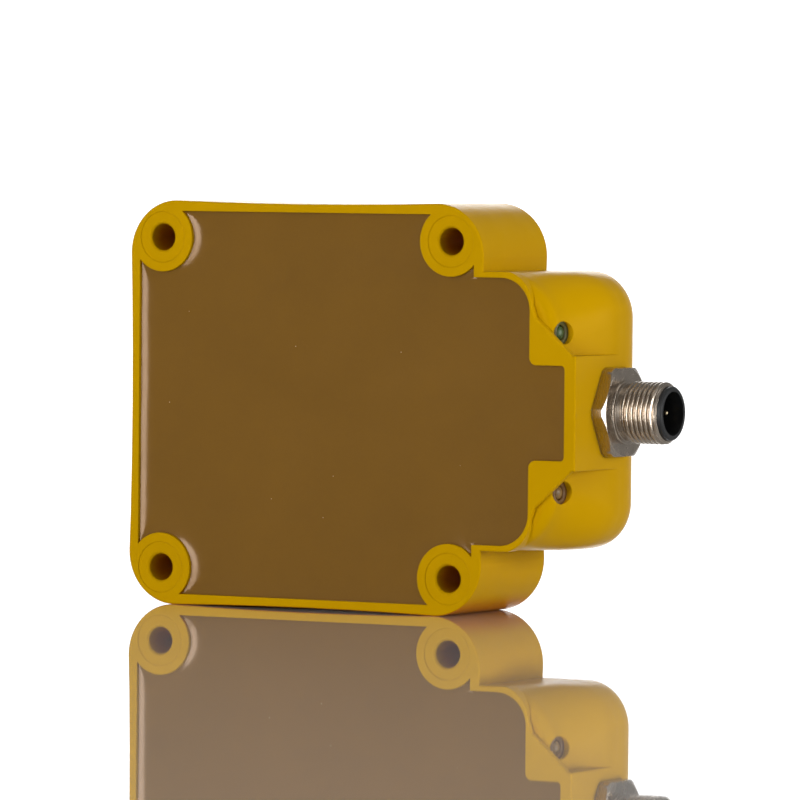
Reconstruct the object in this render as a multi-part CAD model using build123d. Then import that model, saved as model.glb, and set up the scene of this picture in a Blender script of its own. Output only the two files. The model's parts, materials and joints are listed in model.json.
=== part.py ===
from build123d import *
import math
import os

# Inductive proximity sensor in a flat square housing with a plug connection.
# X runs from the body towards the plug, Y from the open potted side to the sensing face, Z up.
# The origin is the centre of the screw-hole square on the potted side. All sizes are in mm.

# Fixing screws
hole_pitch = 65.0
hole_d = 5.3
hole_chamfer = 0.35
hole_edge = 7.25
boss_d = 13.6
boss_ring_d = 10.0
boss_ring_depth = 0.12

# Body
body_depth = 26.0
corner_radius = 10.3
side_bow = 0.45
wall = 2.1
face_wall = 2.0
outer_edge_round = 0.6
rim_edge_round = 0.3

# Nose
nose_length = 20.3
nose_half_width = 26.85
nose_corner_radius = 9.0
nose_crown_length = 6.0
nose_crown_drop = 1.5
nose_wall = 1.15
nose_end_wall = 2.4
chest_length = 10.2
chest_corner_radius = 6.3
neck_half_width = 9.1
neck_inner_round = 1.5
neck_outer_round = 0.8
block_rim = 2.5
land_thickness = 1.3
land_shoulder = 5.65
land_lip = 0.35
land_break_height = 18.2
land_break_lip = 1.25
land_tip = 0.6
scoop_end_depth = 18.0
scoop_flare = 4.0
scoop_layers = 5
scoop_lip_round = 2.4
shoulder_thickness = 3.0

# Indicator windows and lamps
window_d = 4.4
window_height = 15.3
window_depth = 4.0
window_wall = 5.2
led_d = 3.0
led_length = 4.9
led_set_back = 0.15
led_flange_d = 3.7
led_flange_length = 1.0
led_lead_size = 0.5
led_lead_pitch = 1.6
led_lead_run = 1.6

# Plug connection, M12 x 1
thread_d = 12.0
thread_length = 9.2
thread_chamfer = 0.6
hex_across_flats = 17.0
hex_corner_excess = 1.9
hex_length = 3.85
hex_bevel = 0.95
hex_seat_depth = 1.2
fit_gap = 0.15
step_ring_d = 12.5
step_ring_length = 0.35
undercut_d = 11.0
undercut_length = 1.2
shank_d = 13.2
shank_length = 6.4
insert_d = 9.6
collar_d = 10.4
collar_length = 2.2
insert_proud = 0.9
insert_edge = 0.3
cup_d = 8.5
cup_depth = 8.2
key_width = 0.9
key_height = 0.6
key_set_back = 0.6
key_root = 0.3
key_turn = 45.0
pin_d = 1.0
pin_circle_d = 5.0
pin_recess = 2.5
pin_tail = 1.6
seal_width = 1.1
seal_thickness = 0.5
nut_wall = 1.2
nut_clearance = 0.2
nut_length = 2.4
nut_edge = 0.4

# Potting
fill_recess = 0.9
window_fill_recess = 1.6

# Coil set
face_film = 0.3
core_d = 68.0
core_length = 8.5
core_base = 3.0
core_rim = 3.6
core_post_d = 20.0
core_post_hole_d = 6.0
core_lead_slot = 2.0
former_flange = 0.8
former_gap = 0.2
winding_inner_d = 44.0
winding_gap = 0.5
coil_lead_d = 0.7
coil_lead_spacing = 4.0

# Circuit board and its parts, placed on a grid
board_thickness = 1.6
board_gap = 1.2
board_to_core = 3.2
board_tongue_gap = 0.95
board_tongue_half_width = 20.0
part_grid = 2.0
foot_thickness = 0.3
foot_width = 0.4
foot_reach = 0.9
chip_length = 3.9
chip_width = 8.7
chip_height = 1.5
chip_feet = 7
chip_foot_pitch = 1.27
power_length = 3.5
power_width = 6.5
power_height = 1.6
power_foot_reach = 1.3
power_tab_width = 3.0
power_foot_pitch = 2.3
power_foot_width = 0.7
diode_length = 4.3
diode_width = 2.6
diode_height = 2.2
film_length = 7.2
film_width = 3.5
film_height = 5.0
film_round = 0.5
small_length = 2.0
small_width = 1.25
capacitor_height = 0.9
resistor_height = 0.55
wire_d = 1.2
wire_bend = 1.3
wire_first_run = 2.65
wire_stagger = 0.75

half_pitch = hole_pitch / 2
body_half = half_pitch + hole_edge
nose_end = body_half + nose_length
chest_end = body_half + chest_length
neck_end = nose_end - nose_end_wall
scoop_start = chest_end + window_wall
cavity_half = body_half - wall
cavity_floor = body_depth - face_wall
axis_depth = cavity_floor - nut_clearance - nut_wall - shank_d / 2
block_half_width = hex_across_flats / 2 + block_rim
hex_corner_d = hex_across_flats + hex_corner_excess
hex_back = nose_end - hex_seat_depth
hex_face = hex_back + hex_length
thread_end = hex_face + thread_length
shank_end = hex_back - shank_length
insert_front = thread_end + insert_proud
pin_front = insert_front - pin_recess
pin_back = shank_end - pin_tail
coil_front = cavity_floor - face_film
core_front = coil_front - core_length
board_back = core_front - board_to_core
board_front = board_back - board_thickness
lens_front = scoop_start - led_set_back
lens_back = lens_front - led_length
corners = [(sx * half_pitch, sz * half_pitch) for sx in (-1, 1) for sz in (-1, 1)]


def slab(sketch, y_from, y_to):
    """Extrude a sketch drawn in X and Z from one depth to another."""
    return extrude(Plane.XZ.offset(-y_from) * sketch, amount=-(y_to - y_from))


def rod_x(x_from, x_to, diameter, y=axis_depth, z=0.0):
    """Round bar along X."""
    start = Plane(origin=(x_from, y, z), x_dir=(0, 1, 0), z_dir=(1, 0, 0))
    return extrude(start * Circle(diameter / 2), amount=x_to - x_from)


def rod_y(y_from, y_to, diameter, x=0.0, z=0.0):
    """Round bar along Y."""
    return slab(Pos(x, z) * Circle(diameter / 2), y_from, y_to)


def block(x_range, y_range, z_range):
    """Box between two corners."""
    size = [high - low for low, high in (x_range, y_range, z_range)]
    middle = [(low + high) / 2 for low, high in (x_range, y_range, z_range)]
    return Pos(*middle) * Box(*size)


def mirrored(shape):
    """The same shape on the other side of Z = 0."""
    return mirror(shape, about=Plane.XY)


def body_outline():
    """Square with round corners and sides that bow slightly inwards."""
    near = body_half - corner_radius
    diagonal = near + corner_radius * math.sqrt(0.5)
    edges = []
    for turn in range(4):
        side = ThreePointArc((-near, body_half), (0, body_half - side_bow), (near, body_half))
        corner = ThreePointArc((near, body_half), (diagonal, diagonal), (body_half, near))
        edges += [Rot(0, 0, 90 * turn) * side, Rot(0, 0, 90 * turn) * corner]
    return make_face(Wire(edges))


def bar_outline(x_to, half_width, radius):
    """Rectangle from the screw holes out to x_to, with its two far corners rounded."""
    plain = Pos((half_pitch + x_to) / 2, 0) * Rectangle(x_to - half_pitch, 2 * half_width)
    return fillet(plain.vertices().group_by(Axis.X)[-1], radius)


def land_outline():
    """Outline of the flat land round the potting at the nose, cut back to let the lamps show."""
    top = (body_half + land_shoulder, nose_half_width)
    shoulder = (chest_end + land_lip, nose_half_width - chest_corner_radius)
    bulge = ((top[0] * 0.3 + shoulder[0] * 0.7), (top[1] * 0.64 + shoulder[1] * 0.36))
    break_point = (chest_end + land_break_lip, land_break_height)
    tip = (nose_end - land_tip, block_half_width - land_tip / 3)
    end = (nose_end, block_half_width - land_tip)
    edge = Line((half_pitch, nose_half_width), top)
    edge += ThreePointArc(top, bulge, shoulder)
    edge += Polyline(shoulder, break_point, tip, end)
    other = mirror(edge, about=Plane.XZ)
    closing = Line(end, (nose_end, -end[1]))
    back = Line((half_pitch, nose_half_width), (half_pitch, -nose_half_width))
    return make_face(Wire(edge.edges() + other.edges() + [closing.edge(), back.edge()]))


def nose_outline(depth):
    """Nose outline at a depth: drawn in at the front, full in the middle, eased in again at the back."""
    along = min(max((depth - land_thickness) / (scoop_end_depth - land_thickness), 0), 1)
    ease = along * along * (3 - 2 * along)
    past = max(0, depth - (body_depth - nose_crown_length)) / nose_crown_length
    end = scoop_start + (nose_end - scoop_start) * ease - nose_crown_drop * past * past
    outline = bar_outline(end, nose_half_width, nose_corner_radius + scoop_flare * (1 - ease))
    return Plane.XZ.offset(-depth) * outline


def layered(depth_from, depth_to, layers):
    """Smooth solid through the nose outlines between two depths."""
    step = (depth_to - depth_from) / layers
    return loft([nose_outline(depth_from + step * layer) for layer in range(layers + 1)])


def nose_solid():
    """Nose before it is hollowed out: scooped flanks, full-depth plug block, flat land in front."""
    crown_start = body_depth - nose_crown_length
    nose = layered(land_thickness, scoop_end_depth, scoop_layers)
    lip = nose.faces().sort_by(Axis.Y)[0].edges().sort_by(Axis.X)[1:]
    nose = fillet(lip, scoop_lip_round)
    nose += slab(bar_outline(nose_end, nose_half_width, nose_corner_radius), scoop_end_depth, crown_start)
    nose += layered(crown_start, body_depth, 2)
    plug_block = Pos((half_pitch + nose_end) / 2, 0) * Rectangle(nose_end - half_pitch, 2 * block_half_width)
    front = slab(plug_block, 0, scoop_end_depth) + slab(land_outline(), 0, land_thickness)
    shoulder_end = chest_end + land_break_lip
    shoulder = Pos((half_pitch + shoulder_end) / 2, 0) * Rectangle(shoulder_end - half_pitch, 2 * nose_half_width)
    front += slab(land_outline() & shoulder, 0, shoulder_thickness)
    land = front.faces().sort_by(Axis.Y)[0]
    front_edges = land.edges().filter_by(lambda edge: edge.center().X > half_pitch + 1)
    return nose + fillet(front_edges, rim_edge_round)


def cavity_outline():
    """Inside of the pot: a square with the screw bosses left standing, open into the nose."""
    square = Rectangle(2 * cavity_half, 2 * cavity_half)
    rest = cavity_half - half_pitch
    for x, z in corners:
        square -= Pos(x, z) * Circle(boss_d / 2)
        middle = (x + math.copysign(rest / 2, x), z + math.copysign(rest / 2, z))
        square -= Pos(*middle) * Rectangle(rest, rest)
    chest = bar_outline(chest_end, nose_half_width - nose_wall, chest_corner_radius)
    neck = bar_outline(neck_end, neck_half_width, neck_outer_round)
    inside = square + chest + neck
    meeting = [
        vertex
        for vertex in inside.vertices()
        if abs(vertex.X - chest_end) < 0.01 and abs(abs(vertex.Y) - neck_half_width) < 0.01
    ]
    return fillet(meeting, neck_inner_round)


def window_bore(x_from, x_to, diameter, side):
    return rod_x(x_from, x_to, diameter, window_depth, side * window_height)


def hexagon_prism(across_flats, corner_d, x_from, x_to, bevel=0.0):
    """Hexagon bar along X with its corners turned down, and bevelled if asked."""
    start = Plane(origin=(x_from, axis_depth, 0), x_dir=(0, 1, 0), z_dir=(1, 0, 0))
    hexagon = RegularPolygon(across_flats / 2, 6, major_radius=False)
    prism = extrude(start * hexagon, amount=x_to - x_from)
    turned = rod_x(x_from, x_to, corner_d)
    if bevel > 0:
        turned = chamfer(turned.edges().filter_by(GeomType.CIRCLE), bevel * 0.55, bevel)
    return prism & turned


def screw_hole(x, z):
    """Through hole with both mouths eased and a shallow turned ring on the boss."""
    tool = rod_y(-1, body_depth + 1, hole_d, x, z)
    tool += rod_y(-1, boss_ring_depth, boss_ring_d, x, z)
    for y, inward in ((boss_ring_depth, 1), (body_depth, -1)):
        mouth = Plane(origin=(x, y, z), x_dir=(1, 0, 0), z_dir=(0, inward, 0))
        cone = Pos(0, 0, hole_chamfer / 2) * Cone(hole_d / 2 + hole_chamfer, hole_d / 2, hole_chamfer)
        tool += mouth * cone
    return tool


def housing_shell():
    """One moulding: pot, bosses, nose, lamp windows and the seat for the hexagon."""
    pot = slab(body_outline(), 0, body_depth)
    pot = fillet(pot.faces().sort_by(Axis.Y)[0].edges(), rim_edge_round)
    shell = pot + nose_solid()
    shell = fillet(shell.faces().sort_by(Axis.Y)[-1].edges(), outer_edge_round)
    shell -= slab(cavity_outline(), -1, cavity_floor)
    for x, z in corners:
        shell -= screw_hole(x, z)
    for side in (-1, 1):
        shell -= window_bore(chest_end - 1, nose_end, window_d, side)
    shell -= rod_x(chest_end, nose_end, shank_d + 2 * fit_gap)
    flats = hex_across_flats + 2 * fit_gap
    return shell - hexagon_prism(flats, hex_corner_d + 2 * fit_gap, hex_back, nose_end + 1)


def seal_ring():
    """Flat seal let into the back of the hexagon."""
    inner_d = shank_d + 2 * fit_gap
    ring = rod_x(hex_back, hex_back + seal_thickness, inner_d + 2 * seal_width)
    return ring - rod_x(hex_back, hex_back + seal_thickness, inner_d)


def connector_body():
    """Metal plug end: shank, bevelled hexagon, step ring, undercut and threaded end."""
    metal = hexagon_prism(hex_across_flats, hex_corner_d, hex_back, hex_face, hex_bevel)
    metal += rod_x(shank_end, hex_back, shank_d)
    step_end = hex_face + step_ring_length
    thread_start = step_end + undercut_length
    metal += rod_x(hex_face, step_end, step_ring_d)
    metal += rod_x(step_end, thread_start, undercut_d)
    threaded = rod_x(thread_start, thread_end, thread_d)
    metal += chamfer(threaded.edges().filter_by(GeomType.CIRCLE), thread_chamfer)
    metal -= rod_x(shank_end - 1, thread_end + 1, insert_d)
    metal -= rod_x(insert_front - collar_length, thread_end + 1, collar_d)
    return metal - seal_ring()


def connector_nut():
    """Ring nut on the shank, inside the nose."""
    nut = rod_x(neck_end - nut_length, neck_end, shank_d + 2 * nut_wall)
    nut = chamfer(nut.edges().filter_by(GeomType.CIRCLE), nut_edge)
    return nut - rod_x(neck_end - nut_length, neck_end, shank_d)


def pin_places():
    reach = pin_circle_d / 2
    return [(reach, 0), (0, reach), (-reach, 0), (0, -reach)]


def connector_insert():
    """Contact carrier with its cup, coding key and pin holes."""
    carrier = rod_x(shank_end, insert_front, insert_d)
    collar = rod_x(insert_front - collar_length, insert_front, collar_d)
    carrier += chamfer(collar.edges().filter_by(GeomType.CIRCLE).sort_by(Axis.X)[-1], insert_edge)
    cup_floor = insert_front - cup_depth
    carrier -= rod_x(cup_floor, insert_front + 1, cup_d)
    key = block(
        (cup_floor - key_root, insert_front - key_set_back),
        (axis_depth - cup_d / 2 - key_root, axis_depth - cup_d / 2 + key_height),
        (-key_width / 2, key_width / 2),
    )
    carrier += key.rotate(Axis((0, axis_depth, 0), (1, 0, 0)), key_turn)
    for y, z in pin_places():
        carrier -= rod_x(shank_end - 1, insert_front, pin_d, axis_depth + y, z)
    return carrier


def contact_pin(y, z):
    pin = rod_x(pin_back, pin_front, pin_d, axis_depth + y, z)
    tip = pin.edges().filter_by(GeomType.CIRCLE).sort_by(Axis.X)[-1]
    return fillet(tip, pin_d * 0.42)


def connector_wire(y, z):
    """Insulated wire from the back of a pin, bent down to the board."""
    depth = axis_depth + y
    drop = pin_back - wire_first_run - (depth - board_back) * wire_stagger
    corner_points = [(pin_back, depth, z), (drop, depth, z), (drop, board_back, z)]
    path = FilletPolyline(*corner_points, radius=wire_bend)
    section = Plane(origin=corner_points[0], z_dir=(-1, 0, 0)) * Circle(wire_d / 2)
    return sweep(section, path=path)


def lead_x():
    """Distance from the axis at which the coil leads come out, mid-winding."""
    return (winding_inner_d + groove_d() - 2 * winding_gap) / 4


def groove_d():
    return core_d - 2 * core_rim


def ferrite_core():
    """Pot core half, open to the sensing face, with a slot for the coil leads."""
    groove_floor = core_front + core_base
    core = rod_y(core_front, coil_front, core_d)
    core -= rod_y(groove_floor, coil_front, groove_d()) - rod_y(groove_floor, coil_front, core_post_d)
    core -= rod_y(core_front, coil_front, core_post_hole_d)
    slot_half = (coil_lead_spacing + 2 * core_lead_slot) / 2
    lead_range = (lead_x() - core_lead_slot / 2, lead_x() + core_lead_slot / 2)
    return core - block(lead_range, (core_front, groove_floor), (-slot_half, slot_half))


def coil_former():
    """Flat bobbin: a thick hub with two thin flanges."""
    back = core_front + core_base
    flange_d = groove_d() - 2 * former_gap
    inner_faces = (back + former_flange, coil_front - former_flange)
    former = rod_y(back, coil_front, flange_d)
    former -= rod_y(*inner_faces, flange_d + 1) - rod_y(*inner_faces, winding_inner_d)
    former -= rod_y(back, coil_front, core_post_d + 2 * former_gap)
    for side in (-1, 1):
        former -= rod_y(back, inner_faces[0], coil_lead_d, lead_x(), side * coil_lead_spacing / 2)
    return former


def coil_winding():
    back = core_front + core_base + former_flange
    front = coil_front - former_flange
    outer_d = groove_d() - 2 * former_gap - 2 * winding_gap
    return rod_y(back, front, outer_d) - rod_y(back, front, winding_inner_d)


def coil_lead(side):
    """Wire from the winding through the core's slot to the board."""
    winding_back = core_front + core_base + former_flange
    return rod_y(board_back, winding_back, coil_lead_d, lead_x(), side * coil_lead_spacing / 2)


def circuit_board():
    """Board with its corners cleared for the screw bosses and a tongue into the nose."""
    half = cavity_half - board_gap
    outline = Rectangle(2 * half, 2 * half)
    tongue_end = chest_end - board_tongue_gap
    tongue = Rectangle(tongue_end - half_pitch, 2 * board_tongue_half_width)
    outline += Pos((half_pitch + tongue_end) / 2, 0) * tongue
    for x, z in corners:
        outline -= Pos(x, z) * Circle(boss_d / 2 + board_gap)
        beyond = (x + math.copysign(hole_edge / 2, x), z + math.copysign(hole_edge / 2, z))
        outline -= Pos(*beyond) * Rectangle(hole_edge, hole_edge)
    return slab(outline, board_front, board_back)


def on_board(x, z, length, width, height):
    """Plain component body standing on the potted side of the board."""
    return block(
        (x - length / 2, x + length / 2), (board_front - height, board_front), (z - width / 2, z + width / 2)
    )


def footed_part(column, row, length, width, height, feet, pitch):
    """Moulded package with flat solder feet along two sides."""
    x, z = column * part_grid, row * part_grid
    package = on_board(x, z, length, width, height)
    for index in range(feet):
        offset = (index - (feet - 1) / 2) * pitch
        for side in (-1, 1):
            foot_x = x + side * (length + foot_reach) / 2
            package += on_board(foot_x, z + offset, foot_reach, foot_width, foot_thickness)
    return package


def power_part(column, row):
    """Power package with a cooling tab on one side and three feet on the other."""
    x, z = column * part_grid, row * part_grid
    package = on_board(x, z, power_length, power_width, power_height)
    reach = (power_length + power_foot_reach) / 2
    package += on_board(x + reach, z, power_foot_reach, power_tab_width, foot_thickness)
    for offset in (-power_foot_pitch, 0, power_foot_pitch):
        package += on_board(x - reach, z + offset, power_foot_reach, power_foot_width, foot_thickness)
    return package


def small_parts(column, rows, height):
    """Column of equal chip parts."""
    x = column * part_grid
    bodies = [on_board(x, row * part_grid, small_length, small_width, height) for row in rows]
    return Compound(children=bodies)


def film_capacitor(column, row):
    box = on_board(column * part_grid, row * part_grid, film_length, film_width, film_height)
    return fillet(box.edges().filter_by(Axis.Y), film_round)


def led_lens(side):
    """Lamp body with a domed tip and a small flange, looking out of the window."""
    body = window_bore(lens_back, lens_front, led_d, side)
    tip = body.edges().filter_by(GeomType.CIRCLE).sort_by(Axis.X)[-1]
    return fillet(tip, led_d * 0.47) + window_bore(lens_back, lens_back + led_flange_length, led_flange_d, side)


def led_leads(side):
    """Two square wires from the lamp, bent back to the board."""
    half = led_lead_size / 2
    bend = lens_back - led_lead_run
    wires = []
    for offset in (-led_lead_pitch / 2, led_lead_pitch / 2):
        z = side * window_height + offset
        across = (z - half, z + half)
        out = block((bend - half, lens_back), (window_depth - half, window_depth + half), across)
        wires.append(out + block((bend - half, bend + half), (window_depth - half, board_front), across))
    return Compound(children=wires)


def potting_resin(embedded):
    """Cast filling: everything in the pot that nothing else takes up, a little below the rim."""
    fill = slab(cavity_outline(), fill_recess, cavity_floor)
    for side in (-1, 1):
        fill += window_bore(chest_end - 1, lens_front - window_fill_recess, window_d, side)
    return fill - embedded


pieces = {
    "housing_shell": housing_shell(),
    "connector_body": connector_body(),
    "connector_seal": seal_ring(),
    "connector_nut": connector_nut(),
    "connector_insert": connector_insert(),
    "ferrite_core": ferrite_core(),
    "coil_former": coil_former(),
    "coil_winding": coil_winding(),
    "coil_lead_start": coil_lead(-1),
    "coil_lead_end": coil_lead(1),
    "circuit_board": circuit_board(),
    "oscillator_chip": footed_part(-4, 6, chip_length, chip_width, chip_height, chip_feet, chip_foot_pitch),
    "output_transistor": power_part(12, -7),
    "voltage_regulator": power_part(10, 8),
    "suppressor_diode": footed_part(16, -1, diode_length, diode_width, diode_height, 1, 0),
    "resonance_capacitor": film_capacitor(2, -5),
    "chip_capacitors": small_parts(-10, (-9, -6, -3, 3, 9), capacitor_height),
    "chip_resistors": small_parts(6, (-11, -8, 0, 3, 12), resistor_height),
    "green_led": led_lens(1),
    "green_led_leads": led_leads(1),
    "yellow_led": led_lens(-1),
    "yellow_led_leads": led_leads(-1),
}
for number, (y, z) in enumerate(pin_places(), start=1):
    pieces[f"contact_pin_{number}"] = contact_pin(y, z)
    pieces[f"connector_wire_{number}"] = connector_wire(y, z)

embedded = [shape for name, shape in pieces.items() if name not in ("housing_shell", "connector_seal")]
pieces["potting_resin"] = potting_resin(embedded)

os.makedirs("parts", exist_ok=True)
for name, shape in pieces.items():
    export_step(shape, f"parts/{name}.step")
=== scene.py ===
import json
import math

import bmesh
import bpy
import numpy as np
from mathutils import Matrix, Vector, noise
from mathutils.geometry import delaunay_2d_cdt


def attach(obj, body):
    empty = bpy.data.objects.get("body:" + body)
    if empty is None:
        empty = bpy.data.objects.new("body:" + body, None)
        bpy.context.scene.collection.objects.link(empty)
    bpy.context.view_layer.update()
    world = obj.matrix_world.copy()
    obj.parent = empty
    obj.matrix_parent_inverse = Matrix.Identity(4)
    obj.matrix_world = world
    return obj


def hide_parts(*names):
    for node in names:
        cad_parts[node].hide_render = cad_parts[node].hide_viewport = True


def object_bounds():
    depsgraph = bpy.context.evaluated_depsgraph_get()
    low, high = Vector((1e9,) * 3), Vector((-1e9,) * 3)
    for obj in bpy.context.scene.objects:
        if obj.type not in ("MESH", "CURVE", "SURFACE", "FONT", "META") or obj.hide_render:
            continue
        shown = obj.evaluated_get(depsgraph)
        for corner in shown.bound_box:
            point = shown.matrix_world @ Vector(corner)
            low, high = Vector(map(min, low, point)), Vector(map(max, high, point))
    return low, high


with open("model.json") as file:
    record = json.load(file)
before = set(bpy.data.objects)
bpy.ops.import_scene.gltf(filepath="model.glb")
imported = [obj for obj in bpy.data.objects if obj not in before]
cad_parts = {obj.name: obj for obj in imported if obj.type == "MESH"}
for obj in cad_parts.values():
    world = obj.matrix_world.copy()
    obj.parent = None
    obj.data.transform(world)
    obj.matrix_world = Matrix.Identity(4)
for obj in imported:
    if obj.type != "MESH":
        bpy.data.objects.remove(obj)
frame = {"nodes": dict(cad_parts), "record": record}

cad_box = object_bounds()
MM = 0.001

# Camera, solved from the four screw holes in the photograph
VIEW_AZIMUTH = math.radians(29.738)
VIEW_ELEVATION = math.radians(1.961)
VIEW_ROLL = math.radians(0.52)
VIEW_DISTANCE = 1380 * MM
LOOK_AT = Vector((21.614, 0, 1.747)) * MM
FOCAL_PIXELS = 7147
IMAGE_PIXELS = 800
SENSOR_WIDTH = 36

# Plug end, in mm, as in the construction
AXIS_DEPTH = 16.0
SHANK_END = 52.45
SHANK_RADIUS = 6.6
BORE_RADIUS = 4.8
HEX_BACK = 58.85
HEX_FACE = 62.7
HEX_FLAT_RADIUS = 8.5
HEX_CORNER_RADIUS = 9.45
HEX_BEVEL_LENGTH = 0.5225
HEX_BEVEL_DEPTH = 0.95
SEAT_TOP = 60.05
SEAT_FILL = 0.16
HEX_BEVEL_STEPS = 14
HEX_CORNER_BLEND = 0.06
FACE_INSET = 0.03
EDGE_ROUND = 0.14
STEP_RADIUS = 6.25
STEP_END = 63.05
UNDERCUT_RADIUS = 5.5
UNDERCUT_CORNER = 0.1
THREAD_START = 64.25
THREAD_END = 71.9
THREAD_RADIUS = 6.0
THREAD_ROOT_RADIUS = 5.4
THREAD_PITCH = 1.0
THREAD_LEAD_IN = 0.6
MOUTH_RADIUS = 5.2
MOUTH_DEPTH = 1.3
MOUTH_BREAK = 0.05
TURN_STEPS = 240
WELD_DISTANCE = 0.002

# Potting skin, in mm: SKIN_DEPTH as in the construction, SKIN_LOW away from the walls here
SKIN_DEPTH = 0.9
SKIN_LOW = 1.3
SKIN_RISE = 0.62
SKIN_RISE_WIDTH = 1.6
SKIN_RINGS = (0.1, 0.25, 0.45, 0.7, 1.0, 1.4, 1.9, 2.5, 3.3, 4.3)
RING_SPACING = 0.45
RING_SPREAD = 0.5
RING_KEPT = 0.96
SKIN_GRID = 1.4
GRID_GAP = 0.7
SKIN_WAVE = 0.05
WAVE_LONG = 16
WAVE_SHORT = 5
WAVE_SHORT_SHARE = 0.3
WAVE_FADE = 2

# Nose flank beside the plug block, in mm, as in the construction
NOSE_END = 60.05
FLANK_START = 55.15
FLANK_LAND = 1.3
FLANK_DEEP = 18.0
FLANK_LIP = 2.4

# Resin behind the lamp windows, in mm
WINDOW_FILL = 53.4
WINDOW_HEIGHT = 15.3
WINDOW_DEPTH = 4.0
WINDOW_REACH = 2.4
WINDOW_FILL_GAP = 0.15
WINDOW_FILL_SLANT = 0.26
LENS_RADIUS = 1.5
LENS_EDGE = 0.2
LENS_FILL_RISE = 1.1

# Sky: direction, angle where the patch starts, angle where it is full, strength
WORLD_BASE = 0.25
WORLD_PATCHES = [
    ((-0.496, 0.868, 0.0), 30, 16, 1.2),
    ((-0.5, -0.85, 0.1), 40, 18, 0.5),
]

# Softboxes in metres and watts: name, place, size, power
LAMP_TARGET = (0.01, 0.01, 0)
LAMPS = [
    ("top_box", (0.3, 0.1, 1.15), (0.6, 0.5), 1.4),
    ("right_box", (1.24, 0.16, 0.03), (0.8, 0.8), 16.5),
    ("edge_box", (1.08, -0.62, 0.1), (0.12, 0.8), 0.6),
    ("rear_box", (-0.7, 1.1, 0.5), (0.7, 0.7), 5),
    ("strip_box", (-0.1, -1.3, 0.1), (0.42, 0.9), 14),
]


def add_camera():
    """Camera on a sphere round the sensor, rolled a little."""
    back = Vector((
        math.sin(VIEW_AZIMUTH) * math.cos(VIEW_ELEVATION),
        -math.cos(VIEW_AZIMUTH) * math.cos(VIEW_ELEVATION),
        math.sin(VIEW_ELEVATION),
    ))
    level = Vector((math.cos(VIEW_AZIMUTH), math.sin(VIEW_AZIMUTH), 0))
    upright = back.cross(level)
    right = math.cos(VIEW_ROLL) * level + math.sin(VIEW_ROLL) * upright
    up = math.cos(VIEW_ROLL) * upright - math.sin(VIEW_ROLL) * level
    place = LOOK_AT + back * VIEW_DISTANCE
    data = bpy.data.cameras.new("camera")
    data.sensor_width = SENSOR_WIDTH
    data.lens = FOCAL_PIXELS / IMAGE_PIXELS * SENSOR_WIDTH
    data.clip_end = 50
    camera = bpy.data.objects.new("camera", data)
    camera.matrix_world = Matrix((
        (right.x, up.x, back.x, place.x),
        (right.y, up.y, back.y, place.y),
        (right.z, up.z, back.z, place.z),
        (0, 0, 0, 1),
    ))
    bpy.context.scene.collection.objects.link(camera)
    bpy.context.scene.camera = camera


def srgb(red, green, blue):
    """Linear colour from 0 to 255 display values."""
    def linear(value):
        value = value / 255
        return value / 12.92 if value <= 0.04045 else ((value + 0.055) / 1.055) ** 2.4
    return (linear(red), linear(green), linear(blue), 1.0)


def scaled(colour, factor):
    """The same colour, lighter or darker."""
    return tuple(min(1.0, part * factor) for part in colour[:3]) + (1.0,)


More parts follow.
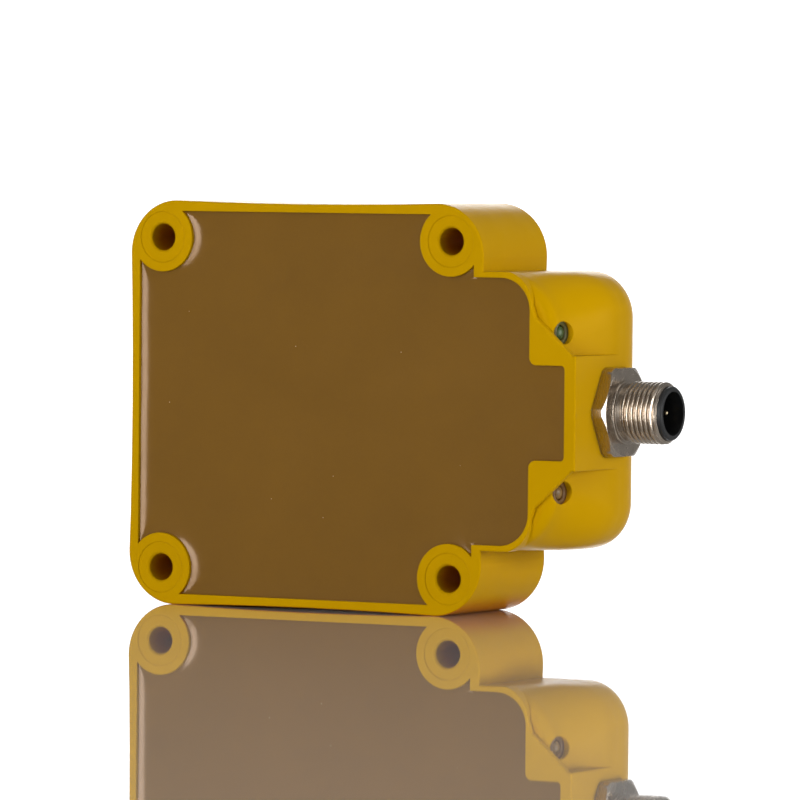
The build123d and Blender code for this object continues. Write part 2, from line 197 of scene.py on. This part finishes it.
class Recipe:
    """A material with short ways to add the usual nodes."""

    def __init__(self, name, roughness, metallic=0.0, coat=0.0):
        self.material = bpy.data.materials.new(name)
        self.material.use_nodes = True
        self.nodes = self.material.node_tree.nodes
        self.links = self.material.node_tree.links
        self.shader = self.nodes["Principled BSDF"]
        self.shader.inputs["Roughness"].default_value = roughness
        self.shader.inputs["Metallic"].default_value = metallic
        self.shader.inputs["Coat Weight"].default_value = coat
        self.place = self.nodes.new("ShaderNodeTexCoord").outputs["Object"]

    def stretched(self, x, y, z):
        """Object coordinates scaled by axis."""
        mapping = self.nodes.new("ShaderNodeMapping")
        mapping.inputs["Scale"].default_value = (x, y, z)
        self.links.new(self.place, mapping.inputs["Vector"])
        return mapping.outputs["Vector"]

    def noise(self, size_mm, detail=4, vector=None, roughness=0.55):
        """Noise whose blobs are about size_mm across."""
        node = self.nodes.new("ShaderNodeTexNoise")
        node.inputs["Scale"].default_value = 1 / (size_mm * MM)
        node.inputs["Detail"].default_value = detail
        node.inputs["Roughness"].default_value = roughness
        self.links.new(vector or self.place, node.inputs["Vector"])
        return node.outputs["Fac"]

    def cells(self, size_mm):
        """Distance to the middle of the nearest of many cells of about size_mm."""
        node = self.nodes.new("ShaderNodeTexVoronoi")
        node.inputs["Scale"].default_value = 1 / (size_mm * MM)
        self.links.new(self.place, node.inputs["Vector"])
        return node.outputs["Distance"]

    def ramp(self, value, low, high, low_colour, high_colour):
        """Colour that turns from one to the other between two values."""
        node = self.nodes.new("ShaderNodeValToRGB")
        first, last = node.color_ramp.elements
        first.position, last.position = low, high
        first.color, last.color = low_colour, high_colour
        self.links.new(value, node.inputs["Fac"])
        return node.outputs["Color"]

    def scale_to(self, value, from_low, from_high, to_low, to_high):
        """Value mapped from one range to another."""
        node = self.nodes.new("ShaderNodeMapRange")
        node.inputs["From Min"].default_value = from_low
        node.inputs["From Max"].default_value = from_high
        node.inputs["To Min"].default_value = to_low
        node.inputs["To Max"].default_value = to_high
        self.links.new(value, node.inputs["Value"])
        return node.outputs["Result"]

    def mix(self, factor, first, second):
        """Blend two colour outputs by a factor output."""
        node = self.nodes.new("ShaderNodeMix")
        node.data_type = "RGBA"
        self.links.new(factor, node.inputs["Factor"])
        self.links.new(first, node.inputs[6])
        self.links.new(second, node.inputs[7])
        return node.outputs[2]

    def hollow(self, reach_mm, closed, open_air):
        """1 deep inside a narrow hollow, 0 on open surfaces; used as the mask for painted shade."""
        node = self.nodes.new("ShaderNodeAmbientOcclusion")
        node.samples = 8
        node.inputs["Distance"].default_value = reach_mm * MM
        return self.scale_to(node.outputs["AO"], closed, open_air, 1.0, 0.0)

    def colour(self, output):
        self.links.new(output, self.shader.inputs["Base Color"])

    def roughness(self, output):
        self.links.new(output, self.shader.inputs["Roughness"])

    def relief(self, layers, edge_mm=0.0):
        """Stack of bumps, each an output with its depth in mm, over softly rounded edges."""
        normal = None
        if edge_mm:
            rounded = self.nodes.new("ShaderNodeBevel")
            rounded.samples = 6
            rounded.inputs["Radius"].default_value = edge_mm * MM
            normal = rounded.outputs["Normal"]
        for height, depth_mm in layers:
            bump = self.nodes.new("ShaderNodeBump")
            bump.inputs["Strength"].default_value = 1.0
            bump.inputs["Distance"].default_value = depth_mm * MM
            self.links.new(height, bump.inputs["Height"])
            if normal:
                self.links.new(normal, bump.inputs["Normal"])
            normal = bump.outputs["Normal"]
        self.links.new(normal, self.shader.inputs["Normal"])


def housing_material():
    """Yellow moulded plastic: semi-gloss, fine grain, faint flow marks, and painted shade that darkens
    it deep in holes.
    """
    recipe = Recipe("yellow_plastic", 0.36)
    yellow = srgb(184, 140, 0)
    flow = recipe.noise(26, detail=3)
    tone = recipe.ramp(flow, 0.3, 0.7, scaled(yellow, 0.955), scaled(yellow, 1.04))
    # Painted shade: a darker, redder yellow is blended in where ambient occlusion finds a deep hole.
    shadow = recipe.ramp(flow, 0.3, 0.7, srgb(176, 108, 0), srgb(184, 116, 0))
    recipe.colour(recipe.mix(recipe.hollow(9, 0.12, 0.4), tone, shadow))
    grain = recipe.noise(0.22, detail=5)
    recipe.roughness(recipe.scale_to(recipe.noise(5, detail=4), 0.3, 0.7, 0.33, 0.41))
    recipe.relief([(grain, 0.0045), (recipe.noise(7, detail=2), 0.03)], edge_mm=0.38)
    recipe.shader.inputs["Specular IOR Level"].default_value = 0.09
    recipe.shader.inputs["Specular Tint"].default_value = srgb(255, 206, 60)
    return recipe.material


def resin_material():
    """Cast resin: glossy brown, clouded, with specks of dust in and on it."""
    recipe = Recipe("brown_resin", 0.16)
    brown = srgb(110, 76, 10)
    cloud = recipe.noise(17, detail=5)
    base = recipe.ramp(cloud, 0.3, 0.72, scaled(brown, 0.9), scaled(brown, 1.08))
    filler = recipe.noise(0.35, detail=4)
    fine = recipe.ramp(filler, 0.38, 0.62, scaled(brown, 0.97), scaled(brown, 1.03))
    blend = recipe.noise(3, detail=2)
    body = recipe.mix(blend, base, fine)
    speck_mask = recipe.scale_to(recipe.cells(5.2), 0.016, 0.026, 1.0, 0.0)
    pale = recipe.ramp(filler, 0.3, 0.7, srgb(168, 140, 98), srgb(206, 184, 146))
    recipe.colour(recipe.mix(speck_mask, body, pale))
    recipe.roughness(recipe.scale_to(recipe.noise(11, detail=3), 0.3, 0.7, 0.15, 0.21))
    recipe.relief([(recipe.noise(9, detail=2), 0.05), (recipe.noise(1.6, detail=3), 0.002)])
    recipe.shader.inputs["Specular IOR Level"].default_value = 0.35
    recipe.shader.inputs["Specular Tint"].default_value = srgb(255, 226, 204)
    return recipe.material


def nickel_material():
    """Nickel plating over turned brass: satin, with fine rings round the axis."""
    recipe = Recipe("nickel_plate", 0.2, metallic=1.0)
    metal = srgb(178, 166, 152)
    stain = recipe.noise(3.5, detail=5)
    recipe.colour(recipe.ramp(stain, 0.28, 0.72, scaled(metal, 0.95), scaled(metal, 1.04)))
    rings = recipe.noise(0.06, detail=2, vector=recipe.stretched(1, 0.02, 0.02))
    recipe.roughness(recipe.scale_to(rings, 0.3, 0.7, 0.2, 0.31))
    recipe.relief([(rings, 0.0003)], edge_mm=0.05)
    return recipe.material


def plain_material(name, colour, roughness, metallic=0.0, grain_mm=0.4, grain_depth=0.003, edge_mm=0.1):
    """Quiet finish: uneven tone, uneven gloss and a fine grain."""
    recipe = Recipe(name, roughness, metallic)
    cloud = recipe.noise(6, detail=5)
    recipe.colour(recipe.ramp(cloud, 0.3, 0.7, scaled(colour, 0.9), scaled(colour, 1.08)))
    recipe.roughness(recipe.scale_to(recipe.noise(2), 0.3, 0.7, roughness * 0.85, roughness * 1.15))
    recipe.relief([(recipe.noise(grain_mm), grain_depth)], edge_mm=edge_mm)
    return recipe.material


def lens_material(name, colour):
    """Tinted lamp body seen in its window."""
    recipe = Recipe(name, 0.45, coat=0.05)
    cloud = recipe.noise(1.2, detail=4)
    recipe.colour(recipe.ramp(cloud, 0.3, 0.7, scaled(colour, 0.7), scaled(colour, 1.2)))
    recipe.relief([(recipe.noise(0.9, detail=2), 0.01)], edge_mm=0.1)
    recipe.shader.inputs["Subsurface Weight"].default_value = 0.3
    recipe.shader.inputs["Subsurface Radius"].default_value = (0.0012, 0.0012, 0.0008)
    return recipe.material


def add_floor(level):
    """Glossy white table under the sensor."""
    bpy.ops.mesh.primitive_plane_add(size=8, location=(0, 0, level))
    floor = bpy.context.object
    floor.name = "floor"
    recipe = Recipe("floor_gloss", 0.015, metallic=0.66)
    paper = (0.97, 0.97, 0.97, 1)
    recipe.colour(recipe.ramp(recipe.noise(900, detail=2), 0.3, 0.7, scaled(paper, 0.995), paper))
    floor.data.materials.append(recipe.material)


def add_lamps():
    """Softboxes above, at the right, behind and in front of the sensor, all facing it."""
    for name, place, size, power in LAMPS:
        data = bpy.data.lights.new(name, "AREA")
        data.shape = "RECTANGLE"
        data.size, data.size_y = size
        data.energy = power
        lamp = bpy.data.objects.new(name, data)
        lamp.location = place
        lamp.rotation_euler = (Vector(place) - Vector(LAMP_TARGET)).to_track_quat("Z", "Y").to_euler()
        bpy.context.scene.collection.objects.link(lamp)


def add_world():
    """White behind the object and softly lit at the front left, dim everywhere else."""
    world = bpy.data.worlds.new("studio")
    world.use_nodes = True
    nodes, links = world.node_tree.nodes, world.node_tree.links
    direction = nodes.new("ShaderNodeTexCoord").outputs["Generated"]

    def lobe(toward, start, full, strength):
        """Bright patch around a direction, from a soft rim to its full strength."""
        dot = nodes.new("ShaderNodeVectorMath")
        dot.operation = "DOT_PRODUCT"
        dot.inputs[1].default_value = Vector(toward).normalized()
        links.new(direction, dot.inputs[0])
        ease = nodes.new("ShaderNodeMapRange")
        ease.interpolation_type = "SMOOTHSTEP"
        ease.inputs["From Min"].default_value = math.cos(math.radians(start))
        ease.inputs["From Max"].default_value = math.cos(math.radians(full))
        ease.inputs["To Min"].default_value = 0
        ease.inputs["To Max"].default_value = strength
        links.new(dot.outputs["Value"], ease.inputs["Value"])
        return ease.outputs["Result"]

    total = None
    for patch in WORLD_PATCHES:
        value = lobe(*patch)
        if total:
            add = nodes.new("ShaderNodeMath")
            add.operation = "ADD"
            links.new(total, add.inputs[0])
            links.new(value, add.inputs[1])
            value = add.outputs["Value"]
        total = value
    shade = nodes.new("ShaderNodeMath")
    shade.operation = "ADD"
    shade.inputs[1].default_value = WORLD_BASE
    links.new(total, shade.inputs[0])
    background = nodes["Background"]
    background.inputs["Color"].default_value = (1, 1, 1, 1)
    links.new(shade.outputs["Value"], background.inputs["Strength"])
    bpy.context.scene.world = world


def mesh_object(name, bm, node):
    """New object from a bmesh in mm, standing for a CAD node."""
    bmesh.ops.scale(bm, vec=(MM, MM, MM), verts=bm.verts)
    bmesh.ops.recalc_face_normals(bm, faces=bm.faces)
    mesh = bpy.data.meshes.new(name)
    bm.to_mesh(mesh)
    bm.free()
    obj = bpy.data.objects.new(name, mesh)
    bpy.context.scene.collection.objects.link(obj)
    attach(obj, "root")
    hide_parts(node)
    return obj


def shade_by_angle(mesh, degrees):
    """Smooth shading that stays crisp on edges sharper than the angle."""
    mesh.polygons.foreach_set("use_smooth", [True] * len(mesh.polygons))
    mesh.set_sharp_from_angle(angle=math.radians(degrees))


def around_axis(x, radius, angle):
    """Point round the plug axis; angle 0 faces the potted side."""
    return (x, AXIS_DEPTH - radius * math.cos(angle), radius * math.sin(angle))


def hexagon_radius(angle):
    """Distance to the flats of a hexagon whose corner faces the potted side."""
    sector = math.radians(60)
    off_flat = (angle % sector) - sector / 2
    return HEX_FLAT_RADIUS / math.cos(off_flat)


def lathe(bm, profile):
    """Ring after ring round the plug axis; each station gives x and a radius for an angle."""
    rings = []
    for station in profile:
        ring = []
        for step in range(TURN_STEPS):
            angle = 2 * math.pi * step / TURN_STEPS
            x, radius = station(angle)
            ring.append(bm.verts.new(around_axis(x, radius, angle)))
        rings.append(ring)
    for near, far in zip(rings, rings[1:]):
        for step in range(TURN_STEPS):
            after = (step + 1) % TURN_STEPS
            bm.faces.new((near[step], near[after], far[after], far[step]))


def at(x, radius):
    """Station with the same radius at every angle."""
    return lambda angle: (x, radius)


def rounded_step(x, radius, x_side, radius_side, points=4):
    """Stations of a small round where a cylinder turns into a face."""
    stations = []
    for point in range(points + 1):
        turn = math.pi / 2 * point / points
        stations.append(at(
            x + x_side * EDGE_ROUND * (math.sin(turn) - 1),
            radius + radius_side * EDGE_ROUND * (math.cos(turn) - 1),
        ))
    return stations


def hexagon_station(x, cap, grown=0.0):
    """Station on the hexagon, with its corners turned down to a cap radius."""
    def station(angle):
        flat = hexagon_radius(angle)
        low = min(flat, cap)
        near = max(0.0, HEX_CORNER_BLEND - abs(flat - cap))
        return x, grown + low - near ** 2 / (4 * HEX_CORNER_BLEND)
    return station


def hexagon_profile():
    """Stations from the inner end over the seat and the hexagon to the start of the thread."""
    stations = [at(SHANK_END, BORE_RADIUS)]
    stations += [at(SHANK_END, SHANK_RADIUS), at(HEX_BACK, SHANK_RADIUS)]
    bevel_start = HEX_FACE - HEX_BEVEL_LENGTH
    stations.append(hexagon_station(HEX_BACK, HEX_CORNER_RADIUS, SEAT_FILL))
    stations.append(hexagon_station(SEAT_TOP, HEX_CORNER_RADIUS, SEAT_FILL))
    stations.append(hexagon_station(SEAT_TOP, HEX_CORNER_RADIUS))
    for part in range(HEX_BEVEL_STEPS + 1):
        along = part / HEX_BEVEL_STEPS
        cap = HEX_CORNER_RADIUS - HEX_BEVEL_DEPTH * along
        stations.append(hexagon_station(bevel_start + HEX_BEVEL_LENGTH * along, cap))
    stations.append(hexagon_station(HEX_FACE, HEX_FLAT_RADIUS - FACE_INSET))
    stations.append(at(HEX_FACE, STEP_RADIUS))
    stations += rounded_step(STEP_END, STEP_RADIUS, 1, 1)
    stations.append(at(STEP_END, UNDERCUT_RADIUS + UNDERCUT_CORNER))
    stations.append(at(STEP_END + UNDERCUT_CORNER, UNDERCUT_RADIUS))
    stations.append(at(THREAD_START, UNDERCUT_RADIUS))
    return stations


def thread_form():
    """Offsets along one pitch with their radius: root round, flank, crest flat, flank."""
    depth = THREAD_RADIUS - THREAD_ROOT_RADIUS
    form = []
    for along, height in (
        (0.0, 0.0), (0.06, 0.03), (0.11, 0.1), (0.25, 0.52), (0.37, 0.9), (0.405, 0.98), (0.44, 1.0),
        (0.56, 1.0), (0.595, 0.98), (0.63, 0.9), (0.75, 0.52), (0.89, 0.1), (0.94, 0.03),
    ):
        form.append((along * THREAD_PITCH, THREAD_ROOT_RADIUS + depth * height))
    return form


def add_thread(bm):
    """Helical thread between the undercut and the mouth, fading into a lead-in at both ends."""
    form = thread_form()
    turns = math.ceil((THREAD_END - THREAD_START) / THREAD_PITCH) + 2
    columns = []
    for step in range(TURN_STEPS + 1):
        angle = 2 * math.pi * step / TURN_STEPS
        column = []
        for turn in range(turns):
            for along, radius in form:
                x = THREAD_START + (turn - 2 + step / TURN_STEPS) * THREAD_PITCH + along
                x = min(max(x, THREAD_START), THREAD_END)
                from_end = min(x - THREAD_START, THREAD_END - x)
                lead_in = THREAD_RADIUS - THREAD_LEAD_IN + max(0.0, from_end)
                column.append(bm.verts.new(around_axis(x, min(radius, lead_in), angle)))
        columns.append(column)
    for near, far in zip(columns, columns[1:]):
        for row in range(len(near) - 1):
            bm.faces.new((near[row], near[row + 1], far[row + 1], far[row]))


def mouth_profile():
    """Stations from the last thread over the mouth and back through the bore."""
    edge = THREAD_RADIUS - THREAD_LEAD_IN
    return [
        at(THREAD_END, edge),
        at(THREAD_END, MOUTH_RADIUS + MOUTH_BREAK),
        at(THREAD_END - MOUTH_BREAK, MOUTH_RADIUS),
        at(THREAD_END - MOUTH_DEPTH, MOUTH_RADIUS),
        at(THREAD_END - MOUTH_DEPTH, BORE_RADIUS),
        at(SHANK_END, BORE_RADIUS),
    ]


def plug_end():
    """Metal plug end with its hexagon, step, undercut and cut thread, in a yellow ring at its seat."""
    bm = bmesh.new()
    lathe(bm, hexagon_profile())
    lathe(bm, [at(THREAD_START, UNDERCUT_RADIUS), at(THREAD_START, THREAD_RADIUS - THREAD_LEAD_IN)])
    add_thread(bm)
    lathe(bm, mouth_profile())
    bmesh.ops.remove_doubles(bm, verts=bm.verts, dist=WELD_DISTANCE)
    for face in bm.faces:
        if abs(face.calc_center_median().x - SEAT_TOP) < 0.01:
            face.material_index = 1
    obj = mesh_object("connector_body_threaded", bm, "connector_body")
    shade_by_angle(obj.data, 32)
    for name in ("nickel", "housing"):
        obj.data.materials.append(materials[name])


def skin_loop(bm):
    """Vertices round the flat skin of the CAD resin, in order, once its faces are taken off."""
    top = [
        face for face in bm.faces
        if all(abs(vert.co.y - SKIN_DEPTH) < 0.002 for vert in face.verts)
    ]
    inside = set(top)
    border = [
        edge for face in top for edge in face.edges
        if sum(1 for other in edge.link_faces if other in inside) == 1
    ]
    bmesh.ops.delete(bm, geom=top, context="FACES_ONLY")
    follow = {}
    for edge in border:
        for vert in edge.verts:
            follow.setdefault(vert, []).append(edge)
    start = border[0].verts[0]
    loop = [start]
    edge = border[0]
    vert = edge.other_vert(start)
    while vert is not start:
        loop.append(vert)
        edge = next(other for other in follow[vert] if other is not edge)
        vert = edge.other_vert(vert)
    return loop


def wall_distance(points, ring):
    """Distance from each point to the closed outline."""
    along = np.roll(ring, -1, axis=0) - ring
    squares = np.maximum((along ** 2).sum(1), 1e-12)
    best = np.full(len(points), np.inf)
    for origin, step, square in zip(ring, along, squares):
        share = np.clip(((points - origin) @ step) / square, 0, 1)
        away = points - origin - share[:, None] * step
        best = np.minimum(best, np.sqrt((away ** 2).sum(1)))
    return best


def dense(ring, spacing):
    """Points along the closed outline at about a given spacing, with their inward normals."""
    points, normals = [], []
    area = 0.5 * np.sum(ring[:, 0] * np.roll(ring[:, 1], -1) - np.roll(ring[:, 0], -1) * ring[:, 1])
    side = 1 if area > 0 else -1
    for start, end in zip(ring, np.roll(ring, -1, axis=0)):
        step = end - start
        size = np.hypot(*step)
        count = max(1, int(round(size / spacing)))
        normal = side * np.array([-step[1], step[0]]) / max(size, 1e-9)
        for part in range(count):
            points.append(start + step * (part + 0.5) / count)
            normals.append(normal)
    return np.array(points), np.array(normals)


def skin_height(distance, x, z):
    """Depth of the skin below the rim: drawn up at the walls, slightly wavy elsewhere."""
    rise = SKIN_RISE * math.exp(-distance / SKIN_RISE_WIDTH)
    long_wave = noise.noise(Vector((x / WAVE_LONG, z / WAVE_LONG, 0.3)))
    short_wave = noise.noise(Vector((x / WAVE_SHORT, z / WAVE_SHORT, 1.7)))
    wave = long_wave + WAVE_SHORT_SHARE * short_wave
    return SKIN_LOW - rise + SKIN_WAVE * wave * min(1.0, distance / WAVE_FADE)


def flank(depth):
    """X of the nose flank beside the plug block, at a depth from the rim."""
    along = (depth - FLANK_LAND) / (FLANK_DEEP - FLANK_LAND)
    wall = FLANK_START + (NOSE_END - FLANK_START) * along * along * (3 - 2 * along)
    into = max(0.0, FLANK_LIP - (depth - FLANK_LAND))
    return wall - FLANK_LIP + math.sqrt(FLANK_LIP * FLANK_LIP - into * into)


def from_window_axis(point):
    """Distance of a point from the axis of the nearer lamp window."""
    return math.hypot(abs(point.z) - WINDOW_HEIGHT, point.y - WINDOW_DEPTH)


def fill_windows(bm):
    """Raise the resin round each lamp so that it stands nearly level with the window's mouth."""
    for vert in bm.verts:
        if abs(vert.co.x - WINDOW_FILL) > 0.02:
            continue
        if from_window_axis(vert.co) > LENS_RADIUS + LENS_EDGE:
            inward = max(0.0, vert.co.y - WINDOW_DEPTH + LENS_RADIUS)
            vert.co.x = flank(vert.co.y) - WINDOW_FILL_GAP - WINDOW_FILL_SLANT * inward
        else:
            vert.co.x += LENS_FILL_RISE


def tint_windows(bm):
    """Give the resin in the upper and the lower window their own materials."""
    for face in bm.faces:
        middle = face.calc_center_median()
        if middle.x > WINDOW_FILL - 0.5 and from_window_axis(middle) < WINDOW_REACH:
            face.material_index = 1 if middle.z > 0 else 2


def inner_points(ring):
    """Points of the skin: rings that follow the wall, then a grid across the middle."""
    found = []
    for inset in SKIN_RINGS:
        points, normals = dense(ring, RING_SPACING + inset * RING_SPREAD)
        moved = points + normals * inset
        found.append(moved[wall_distance(moved, ring) > inset * RING_KEPT])
    low, high = ring.min(0), ring.max(0)
    across = np.arange(low[0], high[0], SKIN_GRID)
    upward = np.arange(low[1], high[1], SKIN_GRID)
    grid = np.array([(x, z) for x in across for z in upward])
    found.append(grid[wall_distance(grid, ring) > SKIN_RINGS[-1] + GRID_GAP])
    return np.vstack(found)


def cover(bm, loop):
    """Close the loop with the skin, one triangle after another."""
    ring = np.array([(vert.co.x, vert.co.z) for vert in loop])
    flat = [Vector(point) for point in ring] + [Vector(point) for point in inner_points(ring)]
    edges = [(index, (index + 1) % len(ring)) for index in range(len(ring))]
    outline = [list(range(len(ring)))]
    points, _, faces, origins, _, _ = delaunay_2d_cdt(flat, edges, outline, 1, 1e-5)
    away = wall_distance(np.array([tuple(point) for point in points]), ring)
    verts = []
    for index, point in enumerate(points):
        source_index = min(origins[index], default=len(ring))
        if source_index < len(ring):
            vert = loop[source_index]
            vert.co.y = SKIN_LOW - SKIN_RISE
        else:
            vert = bm.verts.new((point.x, skin_height(away[index], point.x, point.y), point.y))
        verts.append(vert)
    for face in faces:
        corners = [verts[index] for index in face]
        if len(set(corners)) == 3:
            bm.faces.new(corners)


def cast_resin(source):
    """Potting with a drawn-up rim all round the pot and the bosses."""
    bm = bmesh.new()
    bm.from_mesh(source.data)
    bmesh.ops.scale(bm, vec=(1 / MM, 1 / MM, 1 / MM), verts=bm.verts)
    bmesh.ops.remove_doubles(bm, verts=bm.verts, dist=0.001)
    fill_windows(bm)
    cover(bm, skin_loop(bm))
    tint_windows(bm)
    obj = mesh_object("potting_resin_cast", bm, "potting_resin")
    shade_by_angle(obj.data, 50)
    for name in ("resin", "window_green", "window_amber"):
        obj.data.materials.append(materials[name])


bpy.context.scene.view_settings.view_transform = "Standard"
add_camera()
add_world()
add_lamps()
add_floor(cad_box[0][2])

materials = {
    "housing": housing_material(),
    "resin": resin_material(),
    "nickel": nickel_material(),
    "contact_plastic": plain_material("black_plastic", srgb(20, 21, 22), 0.42),
    "gold": plain_material("gold_plate", srgb(166, 152, 124), 0.34, metallic=1.0, grain_depth=0.001),
    "seal_rubber": plain_material("seal_rubber", srgb(34, 34, 34), 0.7),
    "ferrite": plain_material("ferrite", srgb(58, 58, 60), 0.6, grain_mm=0.2, grain_depth=0.01),
    "former": plain_material("former_plastic", srgb(196, 190, 176), 0.45),
    "copper": plain_material("enamelled_copper", srgb(176, 96, 52), 0.3, metallic=1.0),
    "board": plain_material("board_green", srgb(38, 84, 52), 0.4),
    "chip": plain_material("chip_black", srgb(34, 34, 36), 0.5),
    "film_box": plain_material("film_box", srgb(150, 40, 34), 0.4),
    "chip_ceramic": plain_material("chip_ceramic", srgb(158, 128, 94), 0.45),
    "window_green": plain_material("green_window", srgb(78, 74, 26), 0.5),
    "window_amber": plain_material("amber_window", srgb(104, 70, 22), 0.5),
    "lens_green": lens_material("green_lens", srgb(62, 84, 40)),
    "lens_yellow": lens_material("yellow_lens", srgb(122, 92, 44)),
    "tinned_wire": plain_material("tinned_wire", srgb(190, 190, 188), 0.3, metallic=1.0),
    "wire_cover": plain_material("wire_cover", srgb(70, 62, 56), 0.45),
}
slots = {row["node"]: row["material_slot"] for row in frame["record"]["subparts"]}
for node, piece in frame["nodes"].items():
    piece.data.materials.clear()
    piece.data.materials.append(materials[slots[node]])

plug_end()
cast_resin(frame["nodes"]["potting_resin"])
